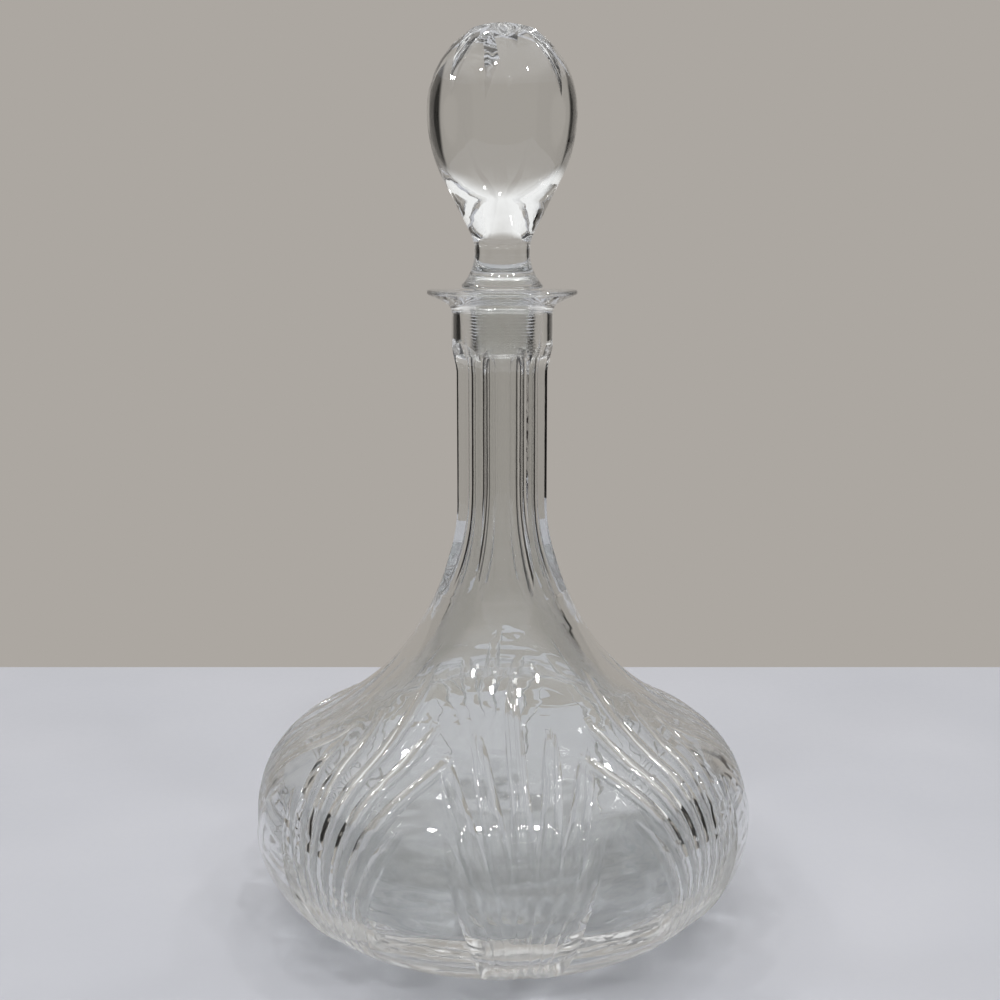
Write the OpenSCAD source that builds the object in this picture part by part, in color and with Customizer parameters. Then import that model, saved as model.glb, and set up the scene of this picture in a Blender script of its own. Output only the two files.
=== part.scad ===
// Ship's decanter: a broad, low glass vessel with a six-sided neck and a solid cut stopper ground into it.
// Millimetres, +Z up. The base rests on z = 0, the axis is Z, and a fan of flutes and a neck panel face -Y.

/* [Body] */
// Diameter of the body at its widest, before cutting
body_d = 170.6; // [167:0.1:176]
// Radius of the round bulge in section
bulge_r = 33.6; // [33:0.1:34.6]
// Height of the widest point above the base
waist_z = 32.6; // [31.6:0.1:33.2]
// Radius of the hollow curve from the shoulder up to the neck
flare_r = 90; // [85:1:95]
// Thickness of the body's wall before cutting
wall = 5; // [4.6:0.1:5.4]
// Radius of the curve inside the shoulder up to the bore
hollow_r = 97.4; // [94:0.2:100]
// Thickness of the base
base_t = 19.5; // [18:0.1:20]
// Radius of the curve inside from the floor up to the wall
floor_fillet = 12; // [10:0.1:12.5]

/* [Neck and lip] */
// Height of the vessel to the top of its lip
vessel_h = 210; // [206:0.5:216]
// Diameter of the neck over its ridges
neck_d = 30; // [29.2:0.1:31]
// Diameter of the neck's bore
bore_d = 15.2; // [14.6:0.1:15.6]
// Number of panels round the neck
neck_sides = 6; // [6:1:8]
// Depth of a neck panel at its middle
panel_depth = 2; // [1.6:0.1:2.2]
// Drop from the top of the hollow shoulder to the lower end of a panel's flat
panel_drop = 5; // [3:0.5:7]
// Radius of the curve that runs a panel out onto the shoulder
panel_tail_r = 64; // [60:1:68]
// Radius of the curve that runs a panel out under the collar
panel_head_r = 18; // [14:1:20]
// Diameter of the collar under the lip
collar_d = 33.2; // [32:0.1:34.6]
// Height of the straight part of the collar
collar_h = 10.9; // [9:0.1:12]
// Height of the cone from the neck up to the collar
collar_run = 8; // [6:0.5:10]
// Diameter of the lip
lip_d = 49.2; // [47.6:0.1:52]
// Thickness of the lip at its rounded rim
lip_t = 1.6; // [1.4:0.1:2]
// Slope of the lip's underside
lip_slope = 25; // [20:1:30]
// Radius of the hollow curve under the lip
lip_cove = 4; // [3:0.1:5]

/* [Ground joint] */
// Diameter of the mouth at the top of the lip
mouth_d = 18.8; // [18.2:0.1:19.4]
// Diameter of the ground seat at its lower end
seat_end_d = 16.4; // [16:0.1:17]
// Length of the ground seat
seat_len = 20; // [17:0.5:22]
// Gap between the ground peg and its seat
ground_gap = 0.1; // [0.05:0.01:0.15]
// Gap between the stopper's flange and the lip
rest_gap = 0.6; // [0.4:0.1:1]

/* [Fans of flutes] */
// Number of fans round the body
fans = 8; // [7:1:8]
// Angle round the body between neighbouring flutes at the waist
flute_pitch = 4; // [3.6:0.1:4.4]
// Lean of each flute more than the one before it
flute_lean = 5.3; // [5:0.1:5.6]
// Radius of a flute across its hollow
flute_r = 5; // [4.6:0.1:5.6]
// Greatest depth of a flute
flute_depth = 1.7; // [1.3:0.1:2]
// Angle below the waist at which the flutes run out
flute_foot = 48; // [44:1:52]
// Angle above the waist towards which the middle flute runs
flute_crown = 96; // [92:1:100]
// Angle by which each flute outwards stops short of the one before
flute_step = 14; // [13:1:16]
// Radius of the curve that runs the middle flute out onto the neck
flute_tail_r = 74; // [68:1:78]
// Loss of that radius for each flute outwards
flute_tail_step = 12; // [9:1:14]

/* [Stopper] */
// Height of the uncut knob above the lip
knob_h = 85.3; // [82:0.1:88]
// Diameter of the knob at its widest
crown_d = 48.2; // [47:0.1:50]
// Height of the widest point above the lip
crown_h = 56; // [55:0.1:57]
// Radius of the round side under the widest point
belly_r = 45.6; // [44:0.1:47]
// Slope of the straight taper below that, from upright
taper = 27.25; // [26.25:0.25:28.25]
// Diameter of the stem at its narrowest
stem_d = 18; // [17.4:0.1:18.6]
// Radius of the hollow curve of the stem
stem_cove = 15; // [14.4:0.1:15.6]
// Thickness of the flange at its rim
flange_t = 1; // [0.8:0.1:1.4]
// Rounding of the flange's lower edge
flange_edge = 0.5; // [0.3:0.1:0.7]

/* [Stopper cuts] */
// Number of leaves cut round the top of the knob
leaves = 8; // [6:1:10]
// Greatest depth of a leaf
leaf_depth = 1.8; // [1.4:0.1:2.2]
// Half of the angle across a leaf
leaf_half = 74; // [72:1:76]
// Angle above the widest point at which a leaf ends in a point
leaf_tip = 10; // [7:1:14]
// Angle above the widest point at which a leaf is deepest
leaf_peak = 68; // [64:1:72]

/* [Hidden] */
$fn = 96;
// Overlap that carries a cut past a face
over = 1;
body_r = body_d / 2;
neck_r = neck_d / 2;
lip_r = lip_d / 2;
collar_r = collar_d / 2;
// Reach of the floor's curve into the wall, so that the two cross and don't only touch
floor_ease = 0.05;
// Centres of the bulge and of the hollow curve, which touch at the shoulder
bulge_x = body_r - bulge_r;
flare_x = neck_r + flare_r;
flare_z = waist_z + sqrt(pow(bulge_r + flare_r, 2) - pow(flare_x - bulge_x, 2));
join_angle = atan2(flare_z - waist_z, flare_x - bulge_x);
// The same two curves inside, and the curve from the floor up to the inner bulge
inner_r = bulge_r - wall;
bore_r = bore_d / 2;
hollow_x = bore_r + hollow_r;
hollow_z = waist_z + sqrt(pow(inner_r + hollow_r, 2) - pow(hollow_x - bulge_x, 2));
fillet_z = base_t + floor_fillet;
fillet_angle = asin((waist_z - fillet_z) / (inner_r - floor_fillet));
fillet_x = bulge_x + (inner_r - floor_fillet) * cos(fillet_angle) + floor_ease;
floor_edge_z = waist_z - inner_r * sin(fillet_angle);
// The lip's rounded rim, the straight run of its underside and the curve that leads it into the collar
rim_r = lip_t / 2;
rim_x = lip_r - rim_r;
rim_z = vessel_h - rim_r;
rim_low = [rim_x + rim_r * sin(lip_slope), rim_z - rim_r * cos(lip_slope)];
cove_high_x = collar_r + lip_cove * (1 - sin(lip_slope));
cove_high_z = rim_low[1] - (rim_low[0] - cove_high_x) * tan(lip_slope);
cove_z = cove_high_z - lip_cove * cos(lip_slope);
// Levels of the neck and seat
collar_z = cove_z - collar_h;
cone_z = collar_z - collar_run;
seat_z = vessel_h - seat_len;
panel_x = neck_r - panel_depth;
// Number of flutes on either side of a fan's middle one
side_flutes = 3;
// The flutes up to this far from the middle one run on past the shoulder
tail_flutes = 2;
// Angle by which a flute's cut is carried past the point where it runs out above
flute_past = 4;
// The same angle below
flute_lead = 1;
// Segments round a flute's cut where it is shown as a mesh
flute_fn = 32;
// Angle through which the tail of a flute turns away from the glass
tail_turn = 40;
// The knob's dome, whose centre lies beyond the axis, and its round belly
crown_r = crown_d / 2;
crown_z = vessel_h + crown_h;
dome_h = knob_h - crown_h;
dome_x = (dome_h * dome_h - crown_r * crown_r) / crown_d;
dome_r = crown_r + dome_x;
belly_x = crown_r - belly_r;
// The straight taper between the belly and the hollow curve of the stem
stem_r = stem_d / 2;
stem_x = stem_r + stem_cove;
taper_r = belly_x + belly_r * cos(taper);
taper_z = crown_z - belly_r * sin(taper);
taper_end_r = stem_x - stem_cove * cos(taper);
taper_end_z = taper_z - (taper_r - taper_end_r) / tan(taper);
stem_z = taper_end_z - stem_cove * sin(taper);
// The flange, which the hollow curve meets at its rim
flange_z = vessel_h + rest_gap;
flange_r = stem_x - sqrt(pow(stem_cove, 2) - pow(stem_z - flange_z - flange_t, 2));
// Angle by which a leaf's cut is carried past its point
leaf_past = 4;
// Angle above the widest point at which a leaf's cut ends, past the top of the knob
leaf_end = 104;
// Distance from the floor of a leaf's cut to its back
leaf_rise = 5;

// Half section of the body: a round belly and a hollow curve up to the throat, stopped at floor_z
module body_half(belly, throat, curve, floor_z) {
    curve_x = throat + curve;
    curve_z = waist_z + sqrt(pow(belly + curve, 2) - pow(curve_x - bulge_x, 2));
    join = ([bulge_x, waist_z] * curve + [curve_x, curve_z] * belly) / (belly + curve);
    intersection() {
        union() {
            translate([bulge_x, waist_z]) circle(belly);
            square([bulge_x, waist_z + over]);
            difference() {
                polygon([[0, waist_z], [bulge_x, waist_z], join, [join[0], curve_z], [0, curve_z]]);
                translate([curve_x, curve_z]) circle(curve);
            }
        }
        translate([0, floor_z]) square([body_r, curve_z - floor_z]);
    }
}

// Half section of the neck above the body, its collar and the rounded lip
module neck_half() {
    low_z = flare_z - over;
    high_z = cove_z + over;
    polygon([[0, low_z], [neck_r, low_z], [neck_r, cone_z], [collar_r, collar_z],
        [collar_r, high_z], [0, high_z]]);
    difference() {
        polygon([[0, cove_z], [collar_r + lip_cove, cove_z], [cove_high_x, cove_high_z], rim_low,
            [rim_x, vessel_h], [0, vessel_h]]);
        translate([collar_r + lip_cove, cove_z]) circle(lip_cove);
    }
    translate([rim_x, rim_z]) circle(rim_r);
}

// Half section of the hollow: the body with its rounded floor, the neck's bore and the ground seat
module hollow_half() {
    body_half(inner_r, bore_r, hollow_r, floor_edge_z);
    translate([0, base_t]) square([fillet_x, floor_edge_z - base_t + over]);
    translate([fillet_x, fillet_z]) circle(floor_fillet);
    translate([0, hollow_z - over]) square([bore_r, seat_z - hollow_z + 2 * over]);
    mouth_half(0, seat_z, vessel_h + over);
}

// Half section of the ground taper between two levels, taken in by gap
module mouth_half(gap, low, high) {
    slope = (mouth_d - seat_end_d) / 2 / seat_len;
    top_r = mouth_d / 2 - gap - slope * (vessel_h - high);
    low_r = mouth_d / 2 - gap - slope * (vessel_h - low);
    polygon([[0, low], [low_r, low], [top_r, high], [0, high]]);
}

// One flute, k places from its fan's middle: a hollow that follows the bulge and runs out at both ends
module flute(k) {
    top = flute_crown - flute_step * abs(k);
    peak = (top - flute_foot) / 2;
    span = (top + flute_foot) / 2;
    shift = flute_depth / (1 - cos(span));
    floor_r = bulge_r - flute_depth + shift;
    has_tail = abs(k) <= tail_flutes;
    high = has_tail ? join_angle : min(top + flute_past, join_angle);
    tail_r = flute_tail_r - flute_tail_step * abs(k);
    rotate([0, 0, k * flute_pitch]) translate([0, -body_r, waist_z]) rotate([0, k * flute_lean, 0])
    translate([0, bulge_r + shift * cos(peak), -shift * sin(peak)])
    rotate([0, 90, 0]) rotate([0, 0, -90 - high]) {
        rotate_extrude(angle = high + flute_foot + flute_lead)
            translate([floor_r + flute_r, 0]) circle(flute_r, $fn = flute_fn);
        if (has_tail) translate([floor_r + tail_r, 0]) rotate([0, 0, 180])
            rotate_extrude(angle = tail_turn) translate([tail_r - flute_r, 0]) circle(flute_r, $fn = flute_fn);
    }
}

// One neck panel: flat down the neck, curving out onto the shoulder below and under the collar above
module neck_panel() {
    tail_z = flare_z - panel_drop;
    head_z = collar_z - panel_head_r / 2;
    rotate([90, 0, 0]) linear_extrude(height = 2 * neck_d, center = true) {
        translate([panel_x, tail_z]) square([panel_head_r, head_z - tail_z]);
        translate([panel_x + panel_tail_r, tail_z]) circle(panel_tail_r);
        translate([panel_x + panel_head_r, head_z]) circle(panel_head_r);
    }
}

// The blown vessel before cutting, turned from the outer half section less the hollow
module blank() {
    rotate_extrude() difference() {
        union() {
            body_half(bulge_r, neck_r, flare_r, 0);
            neck_half();
        }
        hollow_half();
    }
}

// The vessel: blown hollow, with ground seat, cut fans of flutes and cut neck panels
module vessel() {
    color([0.9, 0.94, 0.94, 0.35])
    difference() {
        blank();
        for (i = [0 : fans - 1], k = [-side_flutes : side_flutes]) rotate([0, 0, i * 360 / fans]) flute(k);
        for (i = [0 : neck_sides - 1]) rotate([0, 0, i * 360 / neck_sides - 90]) neck_panel();
    }
}

// Half section of the stopper: dome, belly, straight taper, hollow stem, flange and ground peg
module stopper_half() {
    intersection() {
        translate([-dome_x, crown_z]) circle(dome_r);
        translate([0, crown_z - crown_r / 2]) square([crown_r, dome_h + crown_r]);
    }
    intersection() {
        translate([belly_x, crown_z]) circle(belly_r);
        translate([0, taper_z]) square([crown_r, crown_z - taper_z]);
    }
    polygon([[0, taper_end_z - over], [stem_r, taper_end_z - over], [taper_end_r, taper_end_z],
        [taper_r, taper_z], [taper_r, taper_z + over], [0, taper_z + over]]);
    difference() {
        translate([0, flange_z]) square([flange_r, taper_end_z - flange_z]);
        translate([stem_x, stem_z]) circle(stem_cove);
        translate([flange_r - flange_edge, flange_z]) difference() {
            translate([0, -over]) square([flange_edge + over, flange_edge + over]);
            translate([0, flange_edge]) circle(flange_edge);
        }
    }
    mouth_half(ground_gap, seat_z + over, flange_z + over);
}

// One leaf: a mitre wheel whose edge dips into the dome, from a point above its widest part to past its top
module leaf() {
    shift = leaf_depth / (1 - cos(leaf_peak - leaf_tip));
    floor_r = dome_r - leaf_depth + shift;
    back_r = floor_r + leaf_rise;
    half_w = leaf_rise * tan(leaf_half);
    start = leaf_tip - leaf_past;
    translate([-dome_x - shift * cos(leaf_peak), 0, crown_z - shift * sin(leaf_peak)])
    rotate([90, 0, 0]) rotate([0, 0, start])
    rotate_extrude(angle = leaf_end - start) polygon([[floor_r, 0], [back_r, half_w], [back_r, -half_w]]);
}

// The stopper: solid and smooth, with leaves cut round its top and a ground peg
module stopper() {
    color([0.9, 0.94, 0.94, 0.35])
    difference() {
        rotate_extrude() stopper_half();
        for (i = [0 : leaves - 1]) rotate([0, 0, i * 360 / leaves]) leaf();
    }
}

vessel();
stopper();
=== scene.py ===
import math

import bmesh
import bpy
from mathutils import Matrix, Vector


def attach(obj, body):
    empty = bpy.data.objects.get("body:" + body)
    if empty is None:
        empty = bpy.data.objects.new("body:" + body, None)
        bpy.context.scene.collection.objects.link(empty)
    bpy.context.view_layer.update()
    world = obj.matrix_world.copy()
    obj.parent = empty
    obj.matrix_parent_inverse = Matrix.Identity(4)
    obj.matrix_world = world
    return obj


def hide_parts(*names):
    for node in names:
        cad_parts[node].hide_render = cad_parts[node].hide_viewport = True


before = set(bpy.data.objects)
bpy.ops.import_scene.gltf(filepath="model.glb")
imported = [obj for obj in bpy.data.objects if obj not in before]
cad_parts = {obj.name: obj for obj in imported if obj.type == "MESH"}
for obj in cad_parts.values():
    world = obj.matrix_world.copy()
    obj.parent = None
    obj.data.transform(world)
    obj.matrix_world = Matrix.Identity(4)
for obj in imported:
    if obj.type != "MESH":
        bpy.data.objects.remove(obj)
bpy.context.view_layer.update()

# Vessel: the body, shoulder, neck and lip of the decanter, one piece of clear crystal glass.
# It is blown, ground flat underneath, given a ground seat in its mouth, cut on wheels and then polished.
# All shapes are drawn in millimetres and brought to metres when a piece is finished.
mm = 0.001
body_r = 85.3
bulge_r = 33.6
waist_z = 32.6
flare_r = 90.0
wall = 5.0
bore_r = 7.6
hollow_r = 97.4
base_t = 12.0
floor_fillet = 20.0
lip_top_z = 210.0
neck_r = 15.0
collar_r = 16.6
collar_h = 10.9
collar_run = 8.0
lip_r = 24.6
lip_t = 1.6
lip_slope = math.radians(25)
lip_cove = 4.0
mouth_r = 9.4
seat_end_r = 8.2
seat_len = 20.0
mouth_chamfer = 0.4

bulge_x = body_r - bulge_r
flare_x = neck_r + flare_r
flare_z = waist_z + math.sqrt((bulge_r + flare_r) ** 2 - (flare_x - bulge_x) ** 2)
join_angle = math.atan2(flare_z - waist_z, flare_x - bulge_x)
rim_r = lip_t / 2
rim_x = lip_r - rim_r
rim_z = lip_top_z - rim_r
cove_out = lip_cove * (1 - math.sin(lip_slope))
lip_run = (rim_x + rim_r * math.sin(lip_slope) - collar_r - cove_out) / math.cos(lip_slope)
cove_z = rim_z - (rim_r + lip_cove) * math.cos(lip_slope) - lip_run * math.sin(lip_slope)
collar_z = cove_z - collar_h
seat_z = lip_top_z - seat_len


def line_to(bm, end, r, z):
    """Carries a half section on in a straight line from its last point to radius r and height z."""
    grown = bmesh.ops.extrude_vert_indiv(bm, verts=[end])["verts"][0]
    grown.co = Vector((r, 0, z))
    return grown


def bend(bm, end, r, z, angle, steps):
    """Carries a half section on round a centre at radius r and height z; a positive angle turns +X to +Z."""
    turned = bmesh.ops.spin(bm, geom=[end], cent=(r, 0, z), axis=(0, -1, 0), angle=angle, steps=steps)
    return [v for v in turned["geom_last"] if isinstance(v, bmesh.types.BMVert)][0]


def turn_full(bm, steps):
    """Turns a half section once round the Z axis into a closed solid with its faces pointing outwards."""
    closest = 0.001
    bmesh.ops.spin(bm, geom=bm.verts[:] + bm.edges[:], cent=(0, 0, 0), axis=(0, 0, 1), angle=2 * math.pi,
                   steps=steps, use_merge=True)
    bmesh.ops.remove_doubles(bm, verts=bm.verts[:], dist=closest)
    bmesh.ops.recalc_face_normals(bm, faces=bm.faces[:])


def as_object(bm, name):
    """Makes a mesh object of a finished bmesh, still in millimetres."""
    mesh = bpy.data.meshes.new(name)
    bm.to_mesh(mesh)
    bm.free()
    made = bpy.data.objects.new(name, mesh)
    bpy.context.scene.collection.objects.link(made)
    return made


bm = bmesh.new()
end = bm.verts.new((0, 0, 0))
foot_angle = math.asin(waist_z / bulge_r)
end = line_to(bm, end, bulge_x + bulge_r * math.cos(foot_angle), 0)
end = bend(bm, end, bulge_x, waist_z, foot_angle + join_angle, steps=52)
end = bend(bm, end, flare_x, flare_z, -join_angle, steps=32)
end = line_to(bm, end, neck_r, collar_z - collar_run)
end = line_to(bm, end, collar_r, collar_z)
end = line_to(bm, end, collar_r, cove_z)
end = bend(bm, end, collar_r + lip_cove, cove_z, lip_slope - math.pi / 2, steps=8)
end = line_to(bm, end, rim_x + rim_r * math.sin(lip_slope), rim_z - rim_r * math.cos(lip_slope))
end = bend(bm, end, rim_x, rim_z, math.pi - lip_slope, steps=8)
end = line_to(bm, end, mouth_r + mouth_chamfer, lip_top_z)
end = line_to(bm, end, mouth_r, lip_top_z - mouth_chamfer)
end = line_to(bm, end, seat_end_r, seat_z)
inner_r = bulge_r - wall
hollow_x = bore_r + hollow_r
hollow_z = waist_z + math.sqrt((inner_r + hollow_r) ** 2 - (hollow_x - bulge_x) ** 2)
hollow_angle = math.atan2(hollow_z - waist_z, hollow_x - bulge_x)
end = line_to(bm, end, bore_r, seat_z)
end = line_to(bm, end, bore_r, hollow_z)
end = bend(bm, end, hollow_x, hollow_z, hollow_angle, steps=32)
fillet_z = base_t + floor_fillet
fillet_angle = math.asin((waist_z - fillet_z) / (inner_r - floor_fillet))
fillet_x = bulge_x + (inner_r - floor_fillet) * math.cos(fillet_angle)
end = bend(bm, end, bulge_x, waist_z, -hollow_angle - fillet_angle, steps=36)
end = bend(bm, end, fillet_x, fillet_z, fillet_angle - math.pi / 2, steps=12)
end = line_to(bm, end, 0, base_t)
turn_full(bm, steps=256)
vessel = as_object(bm, "vessel_glass")

# Fans of flutes: shallow hollows ground into the vessel with a round-edged wheel, spreading upwards from its foot.
# Each cutter is the tube that the wheel's edge sweeps; all but the outer two run on towards the neck.
fans = 8
flutes_aside = 3
flute_pitch = 3.8
flute_lean = 6.0
flute_roll = 7.0
flute_r = 5.0
flute_depth = 1.8
flute_foot = 68.0
flute_lead = 1.0
flute_crown = 96.0
flute_step = 7.0
flute_past = 20.0
flute_tail_r = 76.0
flute_tail_step = 10.0
flute_tail_turn = math.radians(40)


def ring_of(bm, count):
    """Repeats what is in the bmesh round the Z axis until there are count of it, evenly spaced."""
    one = bm.verts[:] + bm.edges[:] + bm.faces[:]
    for i in range(1, count):
        again = bmesh.ops.duplicate(bm, geom=one)["geom"]
        bmesh.ops.rotate(bm, verts=[v for v in again if isinstance(v, bmesh.types.BMVert)], cent=(0, 0, 0),
                         matrix=Matrix.Rotation(i * 2 * math.pi / count, 3, "Z"))


def cut_away(blank, wheels):
    """Grinds each set of wheels out of the blank, one after another, and leaves the cut mesh on the blank."""
    for wheel in wheels:
        grind = blank.modifiers.new(wheel.name, "BOOLEAN")
        grind.operation = "DIFFERENCE"
        grind.solver = "MANIFOLD"
        grind.object = wheel
    cut = bpy.data.meshes.new_from_object(blank.evaluated_get(bpy.context.evaluated_depsgraph_get()))
    blank.modifiers.clear()
    blank.data = cut
    blank.data.materials.clear()
    for wheel in wheels:
        bpy.data.objects.remove(wheel)


wheels = []
for k in range(-flutes_aside, flutes_aside + 1):
    is_outer = abs(k) == flutes_aside
    top = flute_crown - flute_step * k * k
    peak = math.radians((top - flute_foot) / 2)
    span = math.radians((top + flute_foot) / 2)
    high = min(math.radians(top + flute_past), join_angle) if is_outer else join_angle
    low = -math.radians(flute_foot + flute_lead)
    shift = flute_depth / (1 - math.cos(span))
    floor_r = bulge_r - flute_depth + shift
    tail_r = flute_tail_r - flute_tail_step * abs(k)
    centre = Vector((0, bulge_r + shift * math.cos(peak), -shift * math.sin(peak)))
    bm = bmesh.new()
    bmesh.ops.create_circle(bm, cap_ends=True, segments=64, radius=flute_r)
    bmesh.ops.rotate(bm, verts=bm.verts[:], cent=(0, 0, 0), matrix=Matrix.Rotation(-low, 3, "X"))
    out = Vector((0, -math.cos(low), math.sin(low)))
    bmesh.ops.translate(bm, verts=bm.verts[:], vec=centre + out * (floor_r + flute_r))
    swept = bmesh.ops.spin(bm, geom=bm.faces[:], cent=centre, axis=(-1, 0, 0), angle=high - low, steps=46)
    if not is_outer:
        out = Vector((0, -math.cos(high), math.sin(high)))
        bmesh.ops.spin(bm, geom=swept["geom_last"], cent=centre + out * (floor_r + tail_r), axis=(1, 0, 0),
                       angle=flute_tail_turn, steps=20)
    bmesh.ops.recalc_face_normals(bm, faces=bm.faces[:])
    bmesh.ops.rotate(bm, verts=bm.verts[:], cent=(0, 0, 0),
                     matrix=Matrix.Rotation(math.radians(-k * flute_roll), 3, "Z"))
    bmesh.ops.rotate(bm, verts=bm.verts[:], cent=(0, 0, 0),
                     matrix=Matrix.Rotation(math.radians(k * flute_lean), 3, "Y"))
    bmesh.ops.translate(bm, verts=bm.verts[:], vec=(0, -body_r, waist_z))
    bmesh.ops.rotate(bm, verts=bm.verts[:], cent=(0, 0, 0),
                     matrix=Matrix.Rotation(math.radians(k * flute_pitch), 3, "Z"))
    ring_of(bm, fans)
    wheels.append(as_object(bm, "flute_wheel"))

# Neck panels: six flats ground down the vessel's neck, so that it is six-sided, each arched under the collar.
# A broad wheel lifts away at both ends, which curves a panel out onto the shoulder below.
panels = 6
panel_x = 13.0
panel_w = 20.0
panel_drop = 5.0
panel_tail_r = 64.0
panel_head_r = 18.0


def slab(bm, width):
    """Fills a closed outline in the XZ plane and makes it a slab of that width, centred on the plane."""
    bmesh.ops.contextual_create(bm, geom=bm.edges[:])
    bmesh.ops.translate(bm, verts=bm.verts[:], vec=(0, -width / 2, 0))
    grown = bmesh.ops.extrude_face_region(bm, geom=bm.faces[:])["geom"]
    bmesh.ops.translate(bm, verts=[v for v in grown if isinstance(v, bmesh.types.BMVert)], vec=(0, width, 0))
    bmesh.ops.recalc_face_normals(bm, faces=bm.faces[:])


tail_z = flare_z - panel_drop
head_z = collar_z - panel_head_r / 2
for turn in (-90, 90):
    bm = bmesh.new()
    start = bm.verts.new((panel_x + panel_tail_r, 0, tail_z - panel_tail_r))
    end = bend(bm, start, panel_x + panel_tail_r, tail_z, -math.pi / 2, steps=40)
    end = line_to(bm, end, panel_x, head_z)
    end = bend(bm, end, panel_x + panel_head_r, head_z, -math.pi / 2, steps=24)
    end = line_to(bm, end, panel_x + panel_tail_r, head_z + panel_head_r)
    bm.edges.new((end, start))
    slab(bm, panel_w)
    bmesh.ops.rotate(bm, verts=bm.verts[:], cent=(0, 0, 0), matrix=Matrix.Rotation(math.radians(turn), 3, "Z"))
    ring_of(bm, panels // 2)
    wheels.append(as_object(bm, "neck_wheel"))
cut_away(vessel, wheels)


def polish(piece, arris):
    """Brings a cut piece to metres and shades it smooth, apart from edges of more than arris degrees."""
    closest = 0.004
    bm = bmesh.new()
    bm.from_mesh(piece.data)
    bmesh.ops.remove_doubles(bm, verts=bm.verts[:], dist=closest)
    bmesh.ops.dissolve_degenerate(bm, edges=bm.edges[:], dist=closest)
    bmesh.ops.scale(bm, vec=(mm, mm, mm), verts=bm.verts[:])
    bm.to_mesh(piece.data)
    bm.free()
    piece.data.shade_smooth()
    piece.data.set_sharp_from_angle(angle=math.radians(arris))


polish(vessel, arris=20)
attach(vessel, "vessel")
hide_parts("vessel")


def linear(code):
    """Turns an sRGB hex colour into the linear colour that a shader takes."""
    parts = [int(code[i:i + 2], 16) / 255 for i in (1, 3, 5)]
    return [c / 12.92 if c <= 0.04045 else ((c + 0.055) / 1.055) ** 2.4 for c in parts] + [1]


def add(tree, kind, settings=None, **links):
    """Adds a node, sets its properties, and sets or links its inputs by name, or by number after a "_"."""
    made = tree.nodes.new(kind)
    for name, value in (settings or {}).items():
        setattr(made, name, value)
    for name, value in links.items():
        socket = made.inputs[int(name[1:]) if name[0] == "_" else name.replace("_", " ")]
        if isinstance(value, bpy.types.NodeSocket):
            tree.links.new(value, socket)
        else:
            socket.default_value = value
    return made


def start_glass(name):
    """Starts a clear glass; lamps shine straight through it, dimmed by a made-up noise pattern that paints bright
    and dim caustic light and shade on the table beneath, in place of light that cut glass would bend.
    """
    glass = bpy.data.materials.new(name)
    glass.use_nodes = True
    tree = glass.node_tree
    shader = tree.nodes["Principled BSDF"]
    shader.inputs["Base Color"].default_value = linear("#f1f2f1")
    shader.inputs["Transmission Weight"].default_value = 1
    shader.inputs["IOR"].default_value = 1.54
    place = add(tree, "ShaderNodeTexCoord").outputs["Object"]
    # Painted caustic light and shade: lamp light is let through in a made-up noise pattern, from dim grey #5a5c5c
    # to full white, and is not bent by the glass.
    drawn = add(tree, "ShaderNodeVectorMath", {"operation": "MULTIPLY"}, _0=place,
                _1=(1 / (9 * mm), 1 / (9 * mm), 1 / (200 * mm)))
    painted_caustic_pattern = add(tree, "ShaderNodeTexNoise", Vector=drawn.outputs["Vector"], Scale=1.0, Detail=2.0)
    bright = add(tree, "ShaderNodeMapRange", Value=painted_caustic_pattern.outputs["Fac"], From_Min=0.42, From_Max=0.58)
    painted_caustic_tint = add(tree, "ShaderNodeMix", {"data_type": "RGBA"}, _0=bright.outputs["Result"], _6=linear("#5a5c5c"),
                 _7=linear("#ffffff"))
    clear = add(tree, "ShaderNodeBsdfTransparent", Color=painted_caustic_tint.outputs[2])
    whole = add(tree, "ShaderNodeMixShader", _0=add(tree, "ShaderNodeLightPath").outputs["Is Shadow Ray"],
                _1=shader.outputs["BSDF"], _2=clear.outputs["BSDF"])
    tree.links.new(whole.outputs["Shader"], tree.nodes["Material Output"].inputs["Surface"])
    return glass, tree, shader, place


# Crystal glass, cut, then polished: clear and bright, with the faint unevenness that polishing leaves on cuts.
crystal, tree, shader, place = start_glass("polished_cut_crystal")
haze = add(tree, "ShaderNodeTexNoise", Vector=place, Scale=1 / (14 * mm), Detail=3.0)
rough = add(tree, "ShaderNodeMapRange", Value=haze.outputs["Fac"], To_Min=0.0, To_Max=0.03)
tree.links.new(rough.outputs["Result"], shader.inputs["Roughness"])
ripple = add(tree, "ShaderNodeTexNoise", Vector=place, Scale=1 / (6 * mm), Detail=1.0)
bump = add(tree, "ShaderNodeBump", Height=ripple.outputs["Fac"], Strength=0.25, Distance=0.2 * mm)
tree.links.new(bump.outputs["Normal"], shader.inputs["Normal"])

# The same glass inside, as it was blown: bright, but in faint level waves, so that what shows through it swims.
# The waves fade out where the body narrows to the neck.
blown, tree, shader, place = start_glass("fire_bright_blown_glass")
shader.inputs["Roughness"].default_value = 0.0
laid = add(tree, "ShaderNodeVectorMath", {"operation": "MULTIPLY"}, _0=place,
           _1=(1 / (28 * mm), 1 / (28 * mm), 1 / (6 * mm)))
swim = add(tree, "ShaderNodeTexNoise", Vector=laid.outputs["Vector"], Scale=1.0, Detail=1.0)
level = add(tree, "ShaderNodeSeparateXYZ", Vector=place).outputs["Z"]
fade = add(tree, "ShaderNodeMapRange", Value=level, From_Min=50 * mm, From_Max=90 * mm, To_Min=1.0, To_Max=0.1)
waves = add(tree, "ShaderNodeMath", {"operation": "MULTIPLY"}, _0=swim.outputs["Fac"], _1=fade.outputs["Result"])
bump = add(tree, "ShaderNodeBump", Height=waves.outputs["Value"], Strength=1.0, Distance=1.3 * mm)
tree.links.new(bump.outputs["Normal"], shader.inputs["Normal"])

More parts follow.
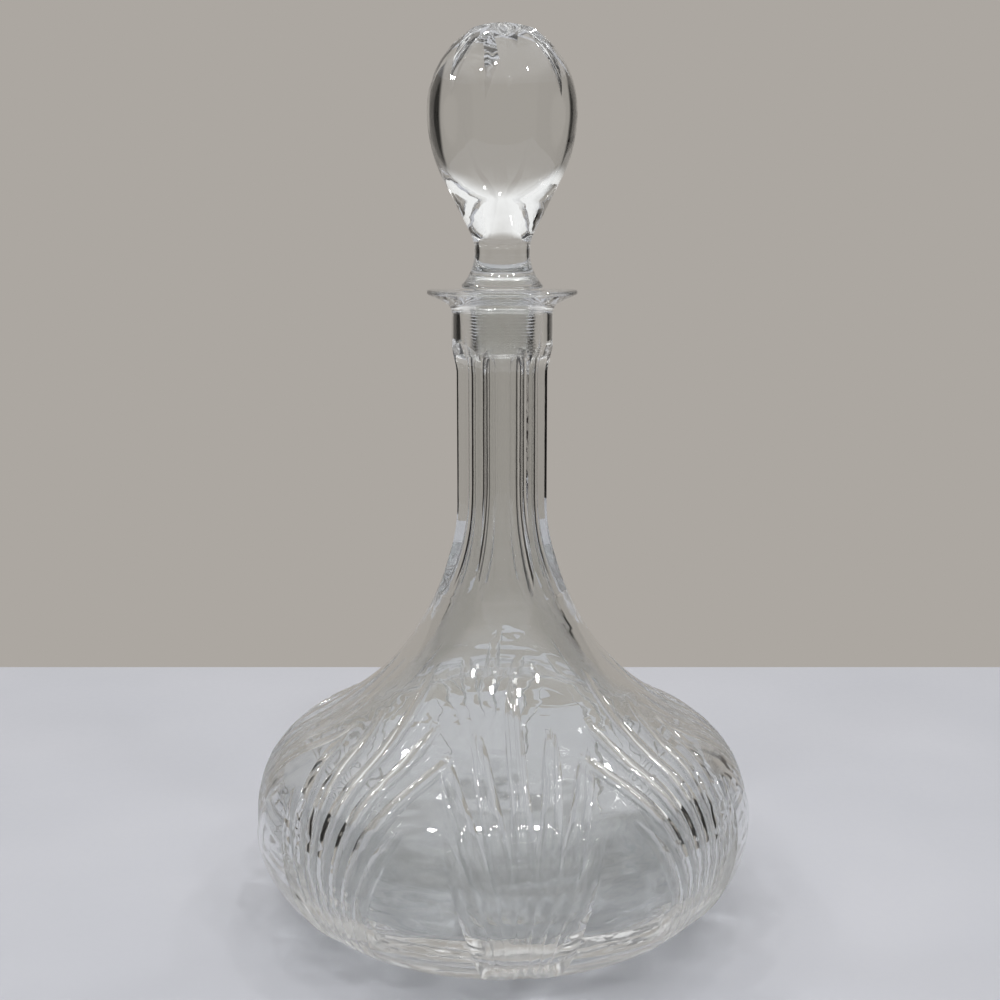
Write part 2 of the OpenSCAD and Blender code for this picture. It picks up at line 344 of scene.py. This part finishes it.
# The ground seat: greyed by fine abrasive, with the faint level rings that the grinding plug leaves 1 mm apart.
ground, tree, shader, place = start_glass("fine_ground_glass")
grain = add(tree, "ShaderNodeTexNoise", Vector=place, Scale=1 / (2 * mm), Detail=2.0)
rough = add(tree, "ShaderNodeMapRange", Value=grain.outputs["Fac"], To_Min=0.1, To_Max=0.3)
tree.links.new(rough.outputs["Result"], shader.inputs["Roughness"])
level = add(tree, "ShaderNodeSeparateXYZ", Vector=place).outputs["Z"]
ring_pitch = 1 * mm
turns = add(tree, "ShaderNodeMath", {"operation": "MULTIPLY"}, _0=level, _1=2 * math.pi / ring_pitch)
rings = add(tree, "ShaderNodeMath", {"operation": "SINE"}, _0=turns.outputs["Value"])
bump = add(tree, "ShaderNodeBump", Height=rings.outputs["Value"], Strength=0.5, Distance=0.06 * mm)
tree.links.new(bump.outputs["Normal"], shader.inputs["Normal"])

# The crystal is outside, the blown glass on the walls and floor of the hollow, and the ground glass in the mouth.
inward = -0.2
upward = 0.8
vessel.data.materials.append(crystal)
vessel.data.materials.append(blown)
vessel.data.materials.append(ground)
for face in vessel.data.polygons:
    radius = math.hypot(face.center.x, face.center.y)
    is_wall = face.normal.x * face.center.x + face.normal.y * face.center.y < inward * radius
    is_floor = face.normal.z > upward and face.center.z < mm * (base_t + floor_fillet)
    if is_wall or is_floor:
        face.material_index = 2 if face.center.z > mm * seat_z else 1

# Stopper: a solid knob of the same glass on a short stem, with a flange over the mouth and a ground peg in it.
# It is pressed in a mould, cut with leaves round its crown and polished; the peg is ground to fit its own vessel.
knob_h = 85.3
crown_r = 24.1
crown_h = 56.0
belly_r = 45.6
taper = math.radians(27.25)
waist_r = 9.0
cove_r = 15.0
flange_t = 1.0
flange_edge = 0.5
rest_gap = 0.6
ground_gap = 0.1
peg_short = 1.0

crown_z = lip_top_z + crown_h
flange_z = lip_top_z + rest_gap
slope = (mouth_r - seat_end_r) / seat_len
dome_h = knob_h - crown_h
dome_x = (dome_h ** 2 - crown_r ** 2) / (2 * crown_r)
dome_r = crown_r + dome_x
cove_x = waist_r + cove_r
taper_r = crown_r - belly_r * (1 - math.cos(taper))
taper_z = crown_z - belly_r * math.sin(taper)
cone_r = cove_x - cove_r * math.cos(taper)
cone_z = taper_z - (taper_r - cone_r) / math.tan(taper)
waist_top_z = cone_z - cove_r * math.sin(taper)
flange_turn = math.asin((waist_top_z - flange_z - flange_t) / cove_r)
flange_r = cove_x - cove_r * math.cos(flange_turn)

bm = bmesh.new()
end = bm.verts.new((0, 0, seat_z + peg_short))
end = line_to(bm, end, seat_end_r - ground_gap + slope * peg_short, seat_z + peg_short)
end = line_to(bm, end, mouth_r - ground_gap + slope * rest_gap, flange_z)
end = line_to(bm, end, flange_r - flange_edge, flange_z)
end = bend(bm, end, flange_r - flange_edge, flange_z + flange_edge, math.pi / 2, steps=6)
end = line_to(bm, end, flange_r, waist_top_z - cove_r * math.sin(flange_turn))
end = bend(bm, end, cove_x, waist_top_z, -flange_turn - taper, steps=24)
end = line_to(bm, end, taper_r, taper_z)
end = bend(bm, end, crown_r - belly_r, crown_z, taper, steps=16)
end = bend(bm, end, -dome_x, crown_z, math.acos(dome_x / dome_r), steps=40)
turn_full(bm, steps=192)
stopper = as_object(bm, "stopper_glass")

# Leaves: eight shallow mitre cuts, ground into the stopper with a V-edged wheel and polished.
# They meet at the top of the crown, and each runs down to a point.
leaves = 8
leaf_depth = 2.0
leaf_half = math.radians(68)
leaf_tip = math.radians(10)
leaf_lead = math.radians(4)
leaf_peak = math.radians(68)
leaf_end = math.radians(104)
leaf_rise = 5.0
leaf_shift = leaf_depth / (1 - math.cos(leaf_peak - leaf_tip))
leaf_floor = dome_r - leaf_depth + leaf_shift
leaf_x = -dome_x - leaf_shift * math.cos(leaf_peak)
leaf_z = crown_z - leaf_shift * math.sin(leaf_peak)
leaf_start = leaf_tip - leaf_lead
leaf_w = leaf_rise * math.tan(leaf_half)
wheels = []
for i in range(leaves):
    bm = bmesh.new()
    edge = [(leaf_floor, 0, 0), (leaf_floor + leaf_rise, leaf_w, 0), (leaf_floor + leaf_rise, -leaf_w, 0)]
    bm.faces.new([bm.verts.new(corner) for corner in edge])
    bmesh.ops.rotate(bm, verts=bm.verts[:], cent=(0, 0, 0), matrix=Matrix.Rotation(-leaf_start, 3, "Y"))
    bmesh.ops.spin(bm, geom=bm.faces[:], cent=(0, 0, 0), axis=(0, -1, 0), angle=leaf_end - leaf_start,
                   steps=44)
    bmesh.ops.recalc_face_normals(bm, faces=bm.faces[:])
    bmesh.ops.translate(bm, verts=bm.verts[:], vec=(leaf_x, 0, leaf_z))
    bmesh.ops.rotate(bm, verts=bm.verts[:], cent=(0, 0, 0),
                     matrix=Matrix.Rotation(i * 2 * math.pi / leaves, 3, "Z"))
    wheels.append(as_object(bm, "leaf_wheel"))
cut_away(stopper, wheels)
polish(stopper, arris=6)
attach(stopper, "stopper")
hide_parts("stopper")
downward = -0.5
stopper.data.materials.append(crystal)
stopper.data.materials.append(ground)
for face in stopper.data.polygons:
    if face.center.z < mm * flange_z and face.normal.z > downward:
        face.material_index = 1

# Table top: a plain pale board that the decanter stands on, wider than the picture, faced with white melamine.
# It ends about 17 cm behind the decanter, where the wall begins, and a hair of air lies under the glass.
heading = math.radians(4.5)
table_w = 1.2
table_d = 0.8
table_end = 0.255
air_gap = 0.3 * mm
bm = bmesh.new()
bmesh.ops.create_grid(bm, x_segments=1, y_segments=1, size=0.5)
bmesh.ops.scale(bm, vec=(table_w, table_d, 1), verts=bm.verts[:])
bmesh.ops.translate(bm, verts=bm.verts[:], vec=(0, table_end - table_d / 2, -air_gap))
bmesh.ops.rotate(bm, verts=bm.verts[:], cent=(0, 0, 0), matrix=Matrix.Rotation(-heading, 3, "Z"))
table = as_object(bm, "table_top")

# Melamine, pressed on a fine matt plate: a pale grey white with faint clouding and a soft, uneven sheen.
board = bpy.data.materials.new("matt_pressed_melamine")
board.use_nodes = True
tree = board.node_tree
shader = tree.nodes["Principled BSDF"]
place = add(tree, "ShaderNodeTexCoord").outputs["Object"]
cloud = add(tree, "ShaderNodeTexNoise", Vector=place, Scale=1 / (90 * mm), Detail=2.0)
tint = add(tree, "ShaderNodeMix", {"data_type": "RGBA"}, _0=cloud.outputs["Fac"], _6=linear("#aeb0b7"),
           _7=linear("#babbc1"))
tree.links.new(tint.outputs[2], shader.inputs["Base Color"])
sheen = add(tree, "ShaderNodeTexNoise", Vector=place, Scale=1 / (3 * mm), Detail=1.0)
rough = add(tree, "ShaderNodeMapRange", Value=sheen.outputs["Fac"], To_Min=0.4, To_Max=0.52)
tree.links.new(rough.outputs["Result"], shader.inputs["Roughness"])
table.data.materials.append(board)

# Room: warm grey walls under a bright ceiling, with dark curtains to the left and right, in front and behind.
# The curtains are what the cut glass picks up as its crisp dark lines; the camera sees only the plain wall.
wall_code = "#aca7a1"
world = bpy.data.worlds.new("room")
bpy.context.scene.world = world
world.use_nodes = True
tree = world.node_tree
way = add(tree, "ShaderNodeSeparateXYZ", Vector=add(tree, "ShaderNodeTexCoord").outputs["Generated"])
smooth = {"interpolation_type": "SMOOTHSTEP"}
colour = {"data_type": "RGBA"}
along = add(tree, "ShaderNodeMapRange", smooth, Value=way.outputs["Y"], From_Min=-0.4, From_Max=0.0)
walls = add(tree, "ShaderNodeMix", colour, _0=along.outputs["Result"], _6=linear("#85817c"), _7=linear(wall_code))
aside = add(tree, "ShaderNodeMath", {"operation": "ABSOLUTE"}, _0=way.outputs["X"])
near = add(tree, "ShaderNodeMapRange", smooth, Value=aside.outputs["Value"], From_Min=0.72, From_Max=0.78)
far = add(tree, "ShaderNodeMapRange", smooth, Value=aside.outputs["Value"], From_Min=0.94, From_Max=0.98,
          To_Min=1.0, To_Max=0.0)
curtain = add(tree, "ShaderNodeMath", {"operation": "MULTIPLY"}, _0=near.outputs["Result"],
              _1=far.outputs["Result"])
sides = add(tree, "ShaderNodeMix", colour, _0=curtain.outputs["Value"], _6=walls.outputs[2], _7=linear("#161514"))
above = add(tree, "ShaderNodeMapRange", smooth, Value=way.outputs["Z"], From_Min=0.5, From_Max=0.7)
whole = add(tree, "ShaderNodeMix", colour, _0=above.outputs["Result"], _6=sides.outputs[2], _7=linear("#ffffff"))
seen = add(tree, "ShaderNodeMix", colour, _0=add(tree, "ShaderNodeLightPath").outputs["Is Camera Ray"],
           _6=whole.outputs[2], _7=linear(wall_code))
tree.links.new(seen.outputs[2], tree.nodes["Background"].inputs["Color"])

# Lamps: eight small round ones in two rows under the ceiling.
# Each cut edge mirrors them, which strings fine bright points along the flutes.
lamp_z = 1.1
lamp_d = 0.07
lamp_aim = Vector((0, 0, 0.1))
for lamp_y in (-0.55, 0.35):
    for lamp_x in (-0.6, -0.2, 0.2, 0.6):
        lamp_data = bpy.data.lights.new("downlight", "AREA")
        lamp_data.shape = "DISK"
        lamp_data.size = lamp_d
        lamp_data.energy = 1.2
        lamp = bpy.data.objects.new("downlight", lamp_data)
        lamp.location = (lamp_x, lamp_y, lamp_z)
        lamp.rotation_euler = (lamp_aim - lamp.location).to_track_quat("-Z", "Y").to_euler()
        bpy.context.scene.collection.objects.link(lamp)

# Camera: in front of the decanter and a little above its lip, turned as the photograph is.
# It looks down at 11 degrees, through a lens of about 40 degrees.
camera_away = 0.4613
camera_left = 0.0007
camera_z = 0.2298
camera_tilt = math.radians(11)
camera_data = bpy.data.cameras.new("camera")
camera_data.sensor_width = 36
camera_data.lens = 50.4
camera = bpy.data.objects.new("camera", camera_data)
camera.location = (-camera_away * math.sin(heading) - camera_left, -camera_away * math.cos(heading), camera_z)
camera.rotation_euler = (math.pi / 2 - camera_tilt, 0, -heading)
bpy.context.scene.collection.objects.link(camera)
bpy.context.scene.camera = camera

# Light is followed through many surfaces and inner reflections, because the thick glass goes black without them.
bounces = 24
bpy.context.scene.view_settings.view_transform = "Standard"
bpy.context.scene.cycles.max_bounces = bounces
bpy.context.scene.cycles.transmission_bounces = bounces
bpy.context.scene.cycles.glossy_bounces = bounces
